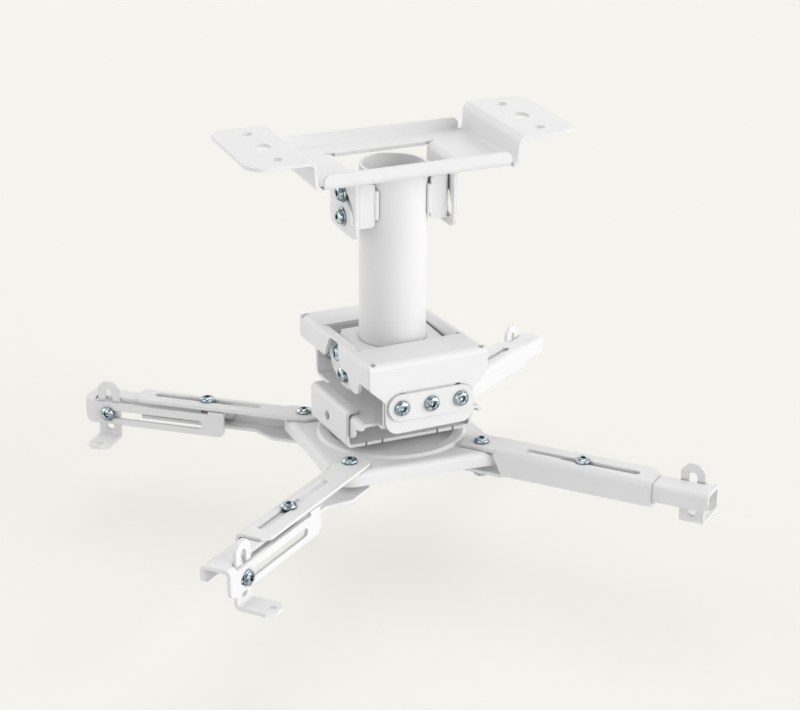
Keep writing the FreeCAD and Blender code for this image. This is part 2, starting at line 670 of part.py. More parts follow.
def rail_channel():
    wall = RAIL_HALF - SHEET / 2
    top, low = RAIL_TOP - SHEET / 2, RAIL_LOW + SHEET / 2
    lip = RAIL_HALF - RAIL_LIP
    path = [(-lip, top), (-wall, top), (-wall, low), (wall, low), (wall, top), (lip, top)]
    near, far = RAIL_OFFSET - RAIL_LONG / 2, RAIL_OFFSET + RAIL_LONG / 2
    body = fold("y", near, far, path)
    out, half = -RAIL_HALF, RAIL_NICK / 2
    body = body.cut(rod("x", out - 1, out + SHEET + 1, RAIL_OFFSET + RAIL_HOLE_BACK, RAIL_HOLE_Z, RAIL_HOLE))
    for x in RAIL_NICKS:
        for side in (-1, 1):
            left, right = side * x - half, side * x + half
            body = body.cut(plate("z", RAIL_LOW - 1, RAIL_LOW + SHEET + 1, left, right, near - 1, near + 2.0))
    return body.cut(rod("z", RAIL_LOW - 1, RAIL_LOW + SHEET + 1, 0, RAIL_OFFSET, SWIVEL_BOLT + 2 * FIT))


HUB_TOP = ARM_TOP - SHEET - SLIDE
HUB_UNDER = HUB_TOP - SHEET


def swivel_parts():
    """The bolt through the rail, the thick washer below it and the nut under the hub."""
    floor = RAIL_LOW + SHEET
    shank_low = HUB_UNDER - SLIDE - SWIVEL_NUT_HIGH
    bolt = rod("z", shank_low, floor, 0, RAIL_OFFSET, SWIVEL_BOLT)
    head = Part.makeCone(SWIVEL_HEAD / 2, SWIVEL_HEAD / 2 - 2, SWIVEL_HEAD_HIGH, V(0, RAIL_OFFSET, floor))
    thick = RAIL_LOW - HUB_TOP - SLIDE
    ring = moved(washer(SWIVEL_WASHER, thick, SWIVEL_BOLT + 2 * FIT), V(0, RAIL_OFFSET, RAIL_LOW - thick))
    lock = nut(SWIVEL_NUT, SWIVEL_NUT_HIGH, SWIVEL_BOLT + 2 * FIT)
    return join([bolt, head]), ring, moved(lock, V(0, RAIL_OFFSET, HUB_UNDER - SLIDE))


# Hub plate, about its own axis, then turned and moved under the rail

def hub_outline(inset):
    """A square with round corners about the arm screws and sides that are drawn in a little."""
    half = HUB_SCREW / math.sqrt(2) + HUB_CORNER - inset
    plan = []
    for k in range(4):
        a = math.radians(90 * k)
        for u, v, r in ((half - HUB_WAIST, 0, 600.0), (half, half, HUB_CORNER - inset)):
            plan.append((u * math.cos(a) - v * math.sin(a), u * math.sin(a) + v * math.cos(a), r))
    return plan


def top_edges(shape, height):
    return [e for e in shape.Edges if abs(e.BoundBox.ZMin - height) < 0.01 and e.BoundBox.ZLength < 0.01]


def hub_plate():
    low = HUB_TOP - HUB_RIM
    body = prism("z", low, HUB_TOP, hub_outline(0))
    body = body.makeFillet(BEND + SHEET, top_edges(body, HUB_TOP))
    hollow = prism("z", low - 1, HUB_UNDER, hub_outline(SHEET))
    body = body.cut(hollow.makeFillet(BEND, top_edges(hollow, HUB_UNDER)))
    body = press_ring(body)
    for k in range(4):
        a = math.radians(45 + 90 * k)
        x, y = HUB_SCREW * math.cos(a), HUB_SCREW * math.sin(a)
        body = body.cut(rod("z", HUB_UNDER - 1, HUB_TOP + 1, x, y, BOLT_HOLE))
    body = body.cut(rod("z", HUB_UNDER - 1, HUB_TOP + 1, 0, 0, SWIVEL_BOLT + 2 * RUN))
    return to_hub(body)


def press_ring(body):
    """Presses a low round ridge into the plate, hollow underneath."""
    outer, wide, high = HUB_RING, HUB_RING_WIDE, HUB_RING_HIGH
    slope = high
    def ridge(drop, grow):
        low, far, near = HUB_TOP - drop, outer + grow, outer - wide - grow
        section = [V(near, 0, low), V(far, 0, low)]
        section += [V(far - slope, 0, low + high), V(near + slope, 0, low + high)]
        face = Part.Face(Part.makePolygon(section + section[:1]))
        return face.revolve(V(0, 0, 0), V(0, 0, 1), 360)
    raised = body.fuse(ridge(0, 0))
    return raised.cut(ridge(SHEET, -0.6)).removeSplitter()


def to_hub(shape):
    turn = turned(shape, V(0, 0, 0), V(0, 0, 1), HUB_TURN)
    return moved(turn, V(0, RAIL_OFFSET, 0))


def arm_root(name):
    """The hub screw of an arm, in the level frame of the lower part."""
    a = math.radians(ARMS[name][0] + HUB_TURN)
    return V(HUB_SCREW * math.cos(a), RAIL_OFFSET + HUB_SCREW * math.sin(a), 0)


# Arms, modelled with the hub screw at the origin, outwards along +X, left along +Y, arm top at z = 0

def outer_arm():
    web = -OUTER_RIGHT + SHEET / 2
    top, low = -SHEET / 2, -OUTER_HIGH + SHEET / 2
    above_lip = -OUTER_HIGH + SHEET
    body = fold("x", OUTER_WEB, OUTER_LONG, [(OUTER_LEFT, top), (web, top), (web, low), (OUTER_LEFT, low)])
    # The wall starts clear of the hub's corner, and both flanges run on flat above and below the hub.
    back = [(OUTER_WEB - 1, -SHEET - BEND), (OUTER_WEB, -SHEET - BEND), (OUTER_WEB_LOW, above_lip + BEND)]
    back += [(OUTER_WEB_LOW, -OUTER_HIGH - 1), (OUTER_WEB - 1, -OUTER_HIGH - 1)]
    body = body.cut(prism("y", -OUTER_RIGHT - 1, 0, back))
    edge = -OUTER_RIGHT + OUTER_SETBACK
    body = body.fuse(plate("z", -SHEET, 0, -OUTER_TAIL, OUTER_WEB + 1, edge, OUTER_LEFT))
    body = body.fuse(plate("z", -OUTER_HIGH, above_lip, -OUTER_TAIL, OUTER_WEB_LOW + 1, edge, OUTER_LEFT))
    side, cut = -OUTER_RIGHT - 1, OUTER_CHAMFER
    flange = [(-OUTER_TAIL, side), (OUTER_LONG, side), (OUTER_LONG, OUTER_LEFT - cut, 1.5)]
    flange += [(OUTER_LONG - cut, OUTER_LEFT, 1.5), (-OUTER_TAIL + 1.4 * cut, OUTER_LEFT, 3.0)]
    flange += [(-OUTER_TAIL, OUTER_LEFT - cut, 3.0)]
    upper = prism("z", -OUTER_HIGH / 2, 1, flange)
    lip = [(-OUTER_TAIL + 3, side), (OUTER_LONG, side), (OUTER_LONG, OUTER_LIP, 2.0)]
    lip += [(OUTER_NARROW, OUTER_LIP, 4.0), (OUTER_WIDE, OUTER_LEFT, 4.0), (-OUTER_TAIL + 3, OUTER_LEFT, 8.0)]
    lower = prism("z", -OUTER_HIGH - 1, -OUTER_HIGH / 2, lip)
    body = body.common(upper.fuse(lower))
    body = body.cut(rod("z", -OUTER_HIGH - 1, 1, 0, 0, BOLT_HOLE))
    end = BOLT_HOLE / 2
    return join([body.cut(slot("z", -SHEET - 1, 1, (SLOT_IN + end, 0), (SLOT_OUT - end, 0), BOLT_HOLE))])


INNER_TOP = -SHEET - SLIDE


def inner_arm():
    """The telescoping arm, about its lock screw."""
    top = INNER_TOP - SHEET / 2
    right = -OUTER_RIGHT + SHEET + SLIDE + SHEET / 2
    left = INNER_OUT - SHEET / 2
    low = INNER_TOP - INNER_TALL
    path = [(right, INNER_TOP - INNER_SHORT), (right, top), (left, top), (left, low)]
    body = fold("x", -INNER_TAIL, INNER_TIP, path, INNER_BEND)
    plain = [(-INNER_TAIL, INNER_TOP + 1), (-INNER_TAIL, INNER_TOP - INNER_SHORT, 3.0)]
    plain += [(INNER_TIP, INNER_TOP - INNER_SHORT, 5.0), (INNER_TIP, INNER_TOP + 1)]
    keep = prism("y", right - SHEET, 0, plain)
    tall = [(-INNER_TAIL, INNER_TOP + 1), (-INNER_TAIL, low, 5.0)]
    tall += [(INNER_TIP, low, 6.0), (INNER_TIP, INNER_TOP + 1)]
    keep = keep.fuse(prism("y", 0, INNER_OUT + 1, tall))
    body = body.common(keep)
    window = [(WINDOW_IN, INNER_TOP + 1), (WINDOW_IN, WINDOW_LOW, 1.2)]
    window += [(WINDOW_OUT, WINDOW_LOW, 1.2), (WINDOW_OUT, INNER_TOP + 1)]
    body = body.cut(prism("y", PLATE_IN - RUN, INNER_OUT + 1, window))
    near = (FOOT_SLOT_IN + BOLT_HOLE / 2, FOOT_SLOT_Z)
    far = (FOOT_SLOT_OUT - BOLT_HOLE / 2, FOOT_SLOT_Z)
    low_slot = slot("y", INNER_OUT - SHEET - 1, INNER_OUT + 1, near, far, BOLT_HOLE)
    return body.cut(low_slot).cut(rod("z", INNER_TOP - SHEET - 1, INNER_TOP + 1, 0, 0, BOLT_HOLE))


PLATE_OUT = INNER_OUT - SHEET - SLIDE
PLATE_IN = PLATE_OUT - SHEET


def foot():
    """The slotted L-shaped foot, about the line of its screw."""
    upright = PLATE_OUT - SHEET / 2
    base = FOOT_LOW + SHEET / 2
    half = FOOT_WIDE / 2
    body = fold("x", -half, half, [(upright, FOOT_TOP), (upright, base), (FOOT_REACH, base)])
    face = [(half, FOOT_LOW - 1), (half, FOOT_TOP - 5.5, 3.0), (half - 4.8, FOOT_TOP, 3.0)]
    face += [(-p[0],) + p[1:] for p in reversed(face)]
    body = body.common(prism("y", PLATE_IN - 1, FOOT_REACH + 1, face))
    cut = FOOT_CHAMFER
    plan = [(half, PLATE_IN - 1), (half, FOOT_REACH - cut, 2.0), (half - cut, FOOT_REACH, 2.0)]
    plan += [(-p[0],) + p[1:] for p in reversed(plan)]
    body = body.common(prism("z", FOOT_LOW - 1, FOOT_TOP + 1, plan))
    body = body.cut(rod("z", FOOT_LOW - 1, FOOT_LOW + SHEET + 1, 0, FOOT_HOLE_AT, FOOT_HOLE))
    end = BOLT_HOLE / 2
    high, low = (0, FOOT_SLOT_TOP - end), (0, FOOT_SLOT_LOW + end)
    return body.cut(slot("y", PLATE_IN - 1, PLATE_OUT + 1, high, low, BOLT_HOLE))


def on_arm(shape, name, distance):
    """Puts a piece at a distance along an arm."""
    shape = moved(shape, V(distance, 0, ARM_TOP))
    shape = turned(shape, V(0, 0, ARM_TOP), V(0, 0, 1), ARMS[name][1])
    return moved(shape, arm_root(name))


def arm_pieces(name):
    """All pieces of one arm, in the level frame of the lower part."""
    _, _, lock, foot_at = ARMS[name]
    lock_screw = facing(button_screw(SHEET * 2 + SLIDE * 2 + NUT_HIGH), (0, 0, SLIDE), (0, 0, 1))
    lock_nut = facing(nut(), (0, 0, INNER_TOP - SHEET), (0, 0, 1))
    grip = INNER_OUT + SLIDE
    foot_length = grip - PLATE_IN + SLIDE + NUT_HIGH
    foot_screw = facing(button_screw(foot_length), (0, grip, FOOT_SLOT_Z), (0, 1, 0))
    foot_nut = facing(nut(), (0, PLATE_IN - SLIDE, FOOT_SLOT_Z), (0, 1, 0))
    return {
        "outer_arm_" + name: on_arm(outer_arm(), name, 0),
        "inner_arm_" + name: on_arm(inner_arm(), name, lock),
        "arm_lock_screw_" + name: on_arm(lock_screw, name, lock),
        "arm_lock_nut_" + name: on_arm(lock_nut, name, lock),
        "foot_" + name: on_arm(foot(), name, lock + foot_at),
        "foot_screw_" + name: on_arm(foot_screw, name, lock + foot_at),
        "foot_nut_" + name: on_arm(foot_nut, name, lock + foot_at),
    }


def hub_fasteners():
    """Long screws through both flanges of each arm, with the hub between them and the nut below."""
    screws, nuts = [], []
    for name in ARMS:
        root = arm_root(name)
        long_screw = button_screw(OUTER_HIGH + 2 * SLIDE + NUT_HIGH)
        screws.append(facing(long_screw, (root.x, root.y, ARM_TOP + SLIDE), (0, 0, 1)))
        nuts.append(facing(nut(), (root.x, root.y, ARM_TOP - OUTER_HIGH - SLIDE), (0, 0, 1)))
    return Part.Compound(screws), Part.Compound(nuts)


# The head pitches on the tube's foot bracket, and the roll bracket and all below it rolls in the head

def yawed(shape):
    return turned(shape, V(0, 0, 0), V(0, 0, 1), HEAD_YAW)


def pitched(shape):
    return yawed(turned(shape, V(0, 0, PITCH_Z), V(1, 0, 0), HEAD_PITCH))


def rolled(shape):
    return pitched(turned(shape, V(0, 0, ROLL_Z), V(0, 1, 0), HEAD_ROLL))


def build():
    pieces = {"ceiling_plate": ceiling_plate(), "tube": tube(), "tube_bracket_right": tube_bracket()}
    pieces["tube_bracket_left"] = mirror(tube_bracket(), "x")
    pieces["tube_foot_bracket"] = yawed(tube_foot_bracket())
    tilt = side_fasteners(TILT_SPOTS, LUG_OUT, BRACKET_OUT - SHEET)
    pieces["tilt_screws"], pieces["tilt_washers"], pieces["tilt_nuts"] = tilt
    pitch = side_fasteners(PITCH_SPOTS, HEAD_LUG, FOOT_WALL - SHEET)
    pitch = [yawed(group) for group in pitch]
    pieces["pitch_screws"], pieces["pitch_washers"], pieces["pitch_nuts"] = pitch
    pieces["head_frame"] = pitched(head_frame())
    lower = {"roll_bracket": roll_bracket()}
    lower["roll_plate_front"], lower["roll_plate_back"] = roll_plate(-1), roll_plate(1)
    lower["roll_screws"], lower["roll_nuts"] = roll_fasteners()
    lower["rail_channel"] = rail_channel()
    lower["swivel_bolt"], lower["swivel_washer"], lower["swivel_nut"] = swivel_parts()
    lower["hub_plate"] = hub_plate()
    lower["hub_screws"], lower["hub_nuts"] = hub_fasteners()
    for name in ARMS:
        lower.update(arm_pieces(name))
    for name, shape in lower.items():
        pieces[name] = rolled(shape)
    return pieces


os.makedirs("parts", exist_ok=True)
for node, shape in build().items():
    shape.exportStep("parts/" + node + ".step")
    print(node, len(shape.Solids), shape.isValid(), round(shape.Volume / 1000, 2))
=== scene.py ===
"""Looks for a projector ceiling mount of folded sheet steel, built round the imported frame."""

import json
import math

import bpy
import numpy as np
from mathutils import Matrix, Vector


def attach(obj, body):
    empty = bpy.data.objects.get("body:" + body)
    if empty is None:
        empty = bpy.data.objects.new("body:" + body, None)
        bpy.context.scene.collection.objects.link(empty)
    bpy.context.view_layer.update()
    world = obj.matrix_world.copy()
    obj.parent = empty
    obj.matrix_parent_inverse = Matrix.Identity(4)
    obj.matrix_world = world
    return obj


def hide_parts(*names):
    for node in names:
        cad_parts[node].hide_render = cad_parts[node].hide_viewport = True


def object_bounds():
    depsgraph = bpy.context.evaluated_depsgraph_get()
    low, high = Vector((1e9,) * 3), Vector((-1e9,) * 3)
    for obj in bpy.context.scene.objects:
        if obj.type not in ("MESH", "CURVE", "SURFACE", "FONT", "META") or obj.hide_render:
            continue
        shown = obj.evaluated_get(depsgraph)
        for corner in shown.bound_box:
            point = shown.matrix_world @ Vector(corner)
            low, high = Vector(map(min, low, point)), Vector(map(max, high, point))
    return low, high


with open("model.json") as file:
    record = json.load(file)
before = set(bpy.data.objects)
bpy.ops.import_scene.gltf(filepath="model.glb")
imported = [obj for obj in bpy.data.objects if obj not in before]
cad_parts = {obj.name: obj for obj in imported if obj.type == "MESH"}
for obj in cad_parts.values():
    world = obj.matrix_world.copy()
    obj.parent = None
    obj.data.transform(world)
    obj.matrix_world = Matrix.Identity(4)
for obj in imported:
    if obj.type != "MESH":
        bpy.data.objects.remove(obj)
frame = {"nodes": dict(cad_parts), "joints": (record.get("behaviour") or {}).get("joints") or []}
cad_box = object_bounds()


# Ceiling plate: 2.5 mm sheet, pressed down in the middle so that its two ears lie on the ceiling.
# It is mild steel with a white powder coat, baked on after all cutting, folding and welding.
# The coat flows round every edge, so nothing is sharp, and it dries with a very fine orange peel.

def colour(hex_code):
    """An sRGB hex value as linear red, green, blue and alpha."""
    parts = np.array([int(hex_code[i:i + 2], 16) for i in (1, 3, 5)]) / 255.0
    linear = np.where(parts <= 0.04045, parts / 12.92, ((parts + 0.055) / 1.055) ** 2.4)
    return (*linear.tolist(), 1.0)


def node(tree, kind, settings=(), **links):
    """Adds one shader node; links name its inputs, each with a value or another node's output."""
    made = tree.nodes.new(kind)
    for name, value in dict(settings).items():
        setattr(made, name, value)
    for name, value in links.items():
        key = int(name[1:]) if name[0] == "_" else name.replace("_", " ")
        if isinstance(value, bpy.types.NodeSocket):
            tree.links.new(value, made.inputs[key])
        else:
            made.inputs[key].default_value = value
    return made


def blank_material(name):
    """A new material with an empty node tree, and that tree."""
    made = bpy.data.materials.new(name)
    made.use_nodes = True
    made.node_tree.nodes.clear()
    return made, made.node_tree


def powder_coat_material():
    """Satin polyester powder on steel: IOR 1.5, with a peel of about 0.8 mm and dust-fine speckle.
    The bevel stands for the coat's round flow over a cut edge, half a millimetre wide. Within 3 mm of a
    corner the colour is painted a shade greyer: painted shade, where less light reaches."""
    made, tree = blank_material("white_satin_powder_coat")
    peel_mm, speckle_mm, drift_mm, edge_mm, painted_shade_mm = 0.8, 0.35, 60.0, 0.5, 3.0
    place = node(tree, "ShaderNodeTexCoord").outputs["Object"]
    peel = node(tree, "ShaderNodeTexNoise", Vector=place, Scale=1000 / peel_mm, Detail=2.0)
    speckle = node(tree, "ShaderNodeTexNoise", Vector=place, Scale=1000 / speckle_mm, Detail=1.0)
    drift = node(tree, "ShaderNodeTexNoise", Vector=place, Scale=1000 / drift_mm, Detail=3.0)
    full = node(tree, "ShaderNodeMix", {"data_type": "RGBA"}, _0=drift.outputs["Fac"],
                _6=colour("#E7E7E7"), _7=colour("#EAEAEA"))
    # Painted shade: within 3 mm of another surface, the coat's colour darkens towards grey #A6A8AA.
    open_sky = node(tree, "ShaderNodeAmbientOcclusion", {"samples": 8}, Distance=painted_shade_mm / 1000)
    painted_shade_mask = node(tree, "ShaderNodeMapRange", Value=open_sky.outputs["AO"],
                 From_Min=0.30, From_Max=0.85, To_Min=0.0, To_Max=1.0)
    painted_shade_tone = node(tree, "ShaderNodeMix", {"data_type": "RGBA"}, _0=painted_shade_mask.outputs["Result"],
                _6=colour("#A6A8AA"), _7=full.outputs[2])
    rough = node(tree, "ShaderNodeMapRange", Value=speckle.outputs["Fac"],
                 From_Min=0.3, From_Max=0.7, To_Min=0.38, To_Max=0.48)
    edge = node(tree, "ShaderNodeBevel", {"samples": 4}, Radius=edge_mm / 1000)
    bump = node(tree, "ShaderNodeBump", Height=peel.outputs["Fac"], Strength=0.10, Distance=0.00015,
                Normal=edge.outputs["Normal"])
    shader = node(tree, "ShaderNodeBsdfPrincipled", Base_Color=painted_shade_tone.outputs[2],
                  Roughness=rough.outputs["Result"], Normal=bump.outputs["Normal"], IOR=1.5)
    node(tree, "ShaderNodeOutputMaterial", Surface=shader.outputs["BSDF"])
    return made


powder_coat = powder_coat_material()


def finish_with(material, *names):
    """Gives CAD nodes their finish; their meshes stay as they are."""
    for name in names:
        slots = frame["nodes"][name].data.materials
        slots.clear()
        slots.append(material)


finish_with(powder_coat, "ceiling_plate")


# Drop tube and its two brackets: 50 mm welded steel tube, with a small channel on each side of its top.
# Each channel is held by one upright weld along the edge of its front and back wall.
# The beads were laid before the coat, so it covers them and softens their ripples.

finish_with(powder_coat, "tube", "tube_bracket_left", "tube_bracket_right")

tube_radius = 0.025
bracket_half = 0.0175
bracket_sheet = 0.0025
bracket_edge = 0.022
bead_low, bead_high = -0.0590, -0.0375
bead_radius, bead_swell, ripple = 0.0021, 0.14, 0.0015
bead_rows, bead_columns, pole = 96, 16, 0.02


def mesh_piece(name, points, faces, material, body):
    """Makes a smooth object from arrays of points and faces, with its place in its mesh."""
    data = bpy.data.meshes.new(name)
    data.from_pydata(points.tolist(), [], faces.tolist())
    data.validate()
    data.materials.append(material)
    data.shade_smooth()
    piece = bpy.data.objects.new(name, data)
    bpy.context.scene.collection.objects.link(piece)
    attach(piece, body)
    return piece


def grid_faces(rows, columns):
    """Quads of a grid of rows whose columns close on themselves."""
    r = np.arange(rows - 1)[:, None]
    c = np.arange(columns)[None, :]
    beside = (c + 1) % columns
    below = (r + 1) * columns
    corners = [r * columns + c, r * columns + beside, below + beside, below + c]
    return np.stack(corners, axis=-1).reshape(-1, 4)


def weld_bead(x, y, low, high, radius):
    """An upright bead: a round section of the given radius, swollen by |sin| of the height over one
    ripple, and closed at each end as the root of t(2 - t), with t the height from that end in radii."""
    height = np.linspace(high, low, bead_rows)[:, None]
    turn = np.linspace(0, 2 * np.pi, bead_columns, endpoint=False)[None, :]
    swell = 1 + bead_swell * np.abs(np.sin(np.pi * height / ripple))
    t = np.clip(np.minimum(height - low, high - height) / radius, 0, 1)
    thick = radius * swell * np.maximum(np.sqrt(t * (2 - t)), pole)
    points = np.stack([x + thick * np.cos(turn), y + thick * np.sin(turn), height + 0 * turn], axis=-1)
    return points.reshape(-1, 3), grid_faces(bead_rows, bead_columns)[:, ::-1]


def joined(forms):
    """Many forms, each with points and faces, as one."""
    starts = np.cumsum([0] + [len(points) for points, _ in forms[:-1]])
    return (np.concatenate([points for points, _ in forms]),
            np.concatenate([faces + start for (_, faces), start in zip(forms, starts)]))


bead_y = bracket_half - bracket_sheet / 2
bead_x = (math.sqrt(tube_radius ** 2 - bead_y ** 2) + bracket_edge) / 2
beads = joined([weld_bead(side * bead_x, front * bead_y, bead_low, bead_high, bead_radius)
                for side in (-1, 1) for front in (-1, 1)])
mesh_piece("bracket_weld_beads", *beads, powder_coat, "tube")


# Tilt screws: two on each side, M6 button heads with plain washers and hexagon nuts, cold-headed.
# The lower pair is the pivot, and the upper pair slides in a curved slot and locks the tilt.
# They are zinc-plated with a blue passivation: bright, cool grey and faintly clouded.

def zinc_material():
    """Blue-passivated zinc: a cool grey metal, with a grain of 0.25 mm and clouds of 2.5 mm. The clouds
    are partly the zinc's own mottle and partly painted reflection, dark and bright and drawn stronger
    than life. In the sockets and under the heads, the corners are painted dark: painted shade."""
    made, tree = blank_material("blue_passivated_zinc")
    grain_mm, haze_and_reflection_mm, painted_shade_mm = 0.25, 2.5, 2.0
    place = node(tree, "ShaderNodeTexCoord").outputs["Object"]
    grain = node(tree, "ShaderNodeTexNoise", Vector=place, Scale=1000 / grain_mm, Detail=2.0)
    haze_and_reflection_noise = node(tree, "ShaderNodeTexNoise", Vector=place, Scale=1000 / haze_and_reflection_mm, Detail=3.0)
    # Painted reflection, partly the zinc's own mottle: the clouds mix a dark and a bright zinc colour.
    haze_and_reflection_mask = node(tree, "ShaderNodeMapRange", Value=haze_and_reflection_noise.outputs["Fac"],
                 From_Min=0.38, From_Max=0.62, To_Min=0.0, To_Max=1.0)
    zinc_and_reflection_tone = node(tree, "ShaderNodeMix", {"data_type": "RGBA"}, _0=haze_and_reflection_mask.outputs["Result"],
                _6=colour("#6A7983"), _7=colour("#CDD8DD"))
    # Painted shade: within 2 mm of another surface, in the sockets and under the heads, the colour turns
    # navy #15233A.
    open_sky = node(tree, "ShaderNodeAmbientOcclusion", {"samples": 8}, Distance=painted_shade_mm / 1000)
    painted_shade_mask = node(tree, "ShaderNodeMapRange", Value=open_sky.outputs["AO"],
                 From_Min=0.45, From_Max=0.85, To_Min=0.0, To_Max=1.0)
    painted_shade_tone = node(tree, "ShaderNodeMix", {"data_type": "RGBA"}, _0=painted_shade_mask.outputs["Result"],
                _6=colour("#15233A"), _7=zinc_and_reflection_tone.outputs[2])
    rough = node(tree, "ShaderNodeMapRange", Value=haze_and_reflection_noise.outputs["Fac"],
                 From_Min=0.3, From_Max=0.7, To_Min=0.10, To_Max=0.20)
    bump = node(tree, "ShaderNodeBump", Height=grain.outputs["Fac"], Strength=0.15, Distance=0.00004)
    shader = node(tree, "ShaderNodeBsdfPrincipled", Base_Color=painted_shade_tone.outputs[2], Metallic=1.0,
                  Roughness=rough.outputs["Result"], Normal=bump.outputs["Normal"])
    node(tree, "ShaderNodeOutputMaterial", Surface=shader.outputs["BSDF"])
    return made


zinc = zinc_material()

# Sizes of the fasteners in millimetres. A hexagon shows in full where the round radius is far beyond it.
columns, far_beyond, tiny = 48, 9.0, 0.02
shank_radius, shank_top, pitch, thread_depth, rows_a_pitch = 2.95, -0.1, 1.0, 0.45, 6
lead_in, lead_share = 0.8, 0.14
head_radius, head_high, rim_high, seat_chamfer, dome_rows = 5.75, 3.4, 0.9, 0.25, 9
key_across, key_deep, key_flare, flare_deep, key_land = 4.0, 2.2, 0.35, 0.25, 0.55
drill_radius, drill_deep = 1.6, 0.5
nut_across, nut_bore, face_share, cone_slope, cone_steps = 10.0, 2.9, 0.96, 0.58, (0.2, 0.5, 0.8, 1.1)
bore_flare, bore_deep = 0.45, 0.5
washer_radius, washer_bore, washer_chamfer, washer_round = 6.75, 3.05, 0.15, 0.45


def hexagon(across, turn):
    """Radius of a hexagon at each turn: half its width across flats over the cosine of the turn from
    the middle of the nearest flat."""
    flat = np.mod(turn + np.pi / 6, np.pi / 3) - np.pi / 6
    return across / 2 / np.cos(flat)


def lathe(rows):
    """Points and faces of a turned form. Each row is (round radius, hexagon width, height): its radius
    at a turn is the hexagon's where a width is given, but never more than the round radius."""
    turn = np.linspace(0, 2 * np.pi, columns, endpoint=False)[None, :]
    table = np.array(rows, float)
    circle, width, height = table[:, :1], table[:, 1:2], table[:, 2:]
    flats = np.where(width > 0, hexagon(width, turn), np.inf)
    radius = np.minimum(circle, flats)
    points = np.stack([radius * np.cos(turn), radius * np.sin(turn), height + 0 * turn], axis=-1)
    return points.reshape(-1, 3) / 1000, grid_faces(len(rows), columns)[:, ::-1]


def thread(low, high):
    """Points of a threaded shank from high down to low: its radius falls as a triangle wave of the
    height plus the turn, so that the ridge climbs one pitch a turn, and draws in towards the tip."""
    turn = np.linspace(0, 2 * np.pi, columns, endpoint=False)[None, :]
    height = np.linspace(high, low, int((high - low) / pitch * rows_a_pitch) + 1)[:, None]
    phase = np.mod(height / pitch + turn / (2 * np.pi), 1.0)
    drawn_in = lead_share * (1 - np.clip((height - low) / lead_in, 0, 1))
    radius = (shank_radius - thread_depth * np.abs(2 * phase - 1)) * (1 - drawn_in)
    points = np.stack([radius * np.cos(turn), radius * np.sin(turn), height + 0 * turn], axis=-1)
    return points.reshape(-1, 3) / 1000


def button_screw(length):
    """A screw whose head seats at height 0: socket floor, hexagon wall, quarter-ellipse dome, rim,
    seat, thread and tip."""
    key_floor = head_high - key_deep
    land = key_across / 2 / math.cos(math.pi / 6) + key_land
    rows = [(tiny, 0, key_floor - drill_deep), (drill_radius, 0, key_floor)]
    rows += [(far_beyond, key_across, key_floor), (far_beyond, key_across, head_high - flare_deep)]
    rows += [(far_beyond, key_across + key_flare, head_high), (land, 0, head_high)]
    rows += [(land + (head_radius - land) * math.sin(t), 0, rim_high + (head_high - rim_high) * math.cos(t))
             for t in np.linspace(0, math.pi / 2, dome_rows)[1:]]
    rows += [(head_radius, 0, seat_chamfer), (head_radius - seat_chamfer, 0, 0.0), (shank_radius, 0, 0.0)]
    head = lathe(rows)[0]
    shank = thread(-length, shank_top)
    tip = np.tile([0.0, 0.0, -length / 1000], (columns, 1))
    points = np.concatenate([head, shank, tip])
    return points, grid_faces(len(points) // columns, columns)[:, ::-1]


def hexagon_nut(high):
    """A nut that seats at height 0 and hangs below it, its corners cut by a cone at both faces."""
    face, mouth = nut_across / 2 * face_share, nut_bore + bore_flare
    rows = [(nut_bore, 0, -bore_deep), (mouth, 0, 0.0), (face, 0, 0.0)]
    rows += [(face + step, nut_across, -step * cone_slope) for step in cone_steps]
    rows += [(face + step, nut_across, -high + step * cone_slope) for step in cone_steps[::-1]]
    rows += [(face, 0, -high), (mouth, 0, -high), (nut_bore, 0, bore_deep - high)]
    rows += [(nut_bore, 0, -bore_deep)]
    return lathe(rows)


def plain_washer(thick):
    """A stamped washer above height 0, with its upper outer edge rounded and its lower edge sharp."""
    mouth = washer_bore + washer_chamfer
    rows = [(washer_bore, 0, washer_chamfer), (washer_bore, 0, thick - washer_chamfer), (mouth, 0, thick)]
    rows += [(washer_radius - washer_round, 0, thick)]
    rows += [(washer_radius - washer_chamfer, 0, thick - washer_chamfer)]
    rows += [(washer_radius, 0, thick - washer_round), (washer_radius, 0, 0.0)]
    rows += [(mouth, 0, 0.0), (washer_bore, 0, washer_chamfer)]
    return lathe(rows)


def upright(direction):
    """A rotation that takes +Z to the direction."""
    z = np.array(direction, float)
    z /= np.linalg.norm(z)
    x = np.cross([0.0, 1.0, 0.0] if abs(z[1]) < 0.9 else [1.0, 0.0, 0.0], z)
    x /= np.linalg.norm(x)
    return np.column_stack([x, np.cross(z, x), z])


def joint_value(joint, key):
    """A direction or a place of a joint of the frame, as an array."""
    found = next(j for j in frame["joints"] if j["name"] == joint)
    return np.array(found[key], float)


def axis_of(joint):
    return joint_value(joint, "axis")


def place_of(joint):
    return joint_value(joint, "pos_m")


def span(name, direction, start, both_ends=False):
    """The nearest and furthest that a CAD node reaches along a direction from a start, in metres; with
    both_ends, its two halves lie alike on the two sides of the start."""
    data = frame["nodes"][name].data
    flat = np.empty(3 * len(data.vertices))
    data.vertices.foreach_get("co", flat)
    along = (flat.reshape(-1, 3) - start) @ direction
    along = np.abs(along) if both_ends else along
    return along.min(), along.max()


sharp_angle = math.radians(32.0)


